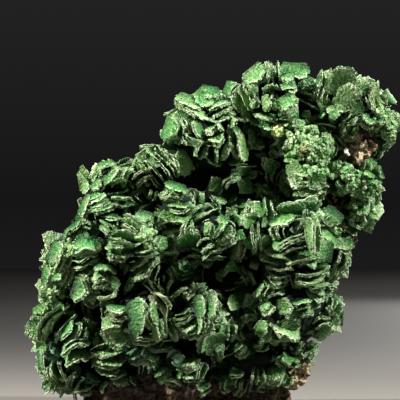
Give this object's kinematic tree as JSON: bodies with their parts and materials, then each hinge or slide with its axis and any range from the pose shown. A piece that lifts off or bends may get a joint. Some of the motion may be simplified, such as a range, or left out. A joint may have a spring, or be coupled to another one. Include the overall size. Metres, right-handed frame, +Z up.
{
  "type": "torbernite mineral specimen",
  "caption": "Loose hand specimen of torbernite: books of thin square green tablets crusted in rounded mounds over dark brown matrix rock.",
  "frame": {"origin": "on the flat underside of the matrix rock, below the middle of the specimen's front view", "axes": "+Z up as the specimen stands, -Y towards the side with the most crystals, +X to the right of that side"},
  "size_m": [0.0789, 0.0404, 0.0694],
  "materials": {
    "gossan": "rough dark brown limonite-stained rock, matt and crumbly",
    "torbernite": "green mica-like tablets with paler edges, faces vitreous to pearly"
  },
  "bodies": {
    "root": {"matrix_rock": "gossan", "torbernite_crystals": "torbernite"}
  },
  "joints": []
}
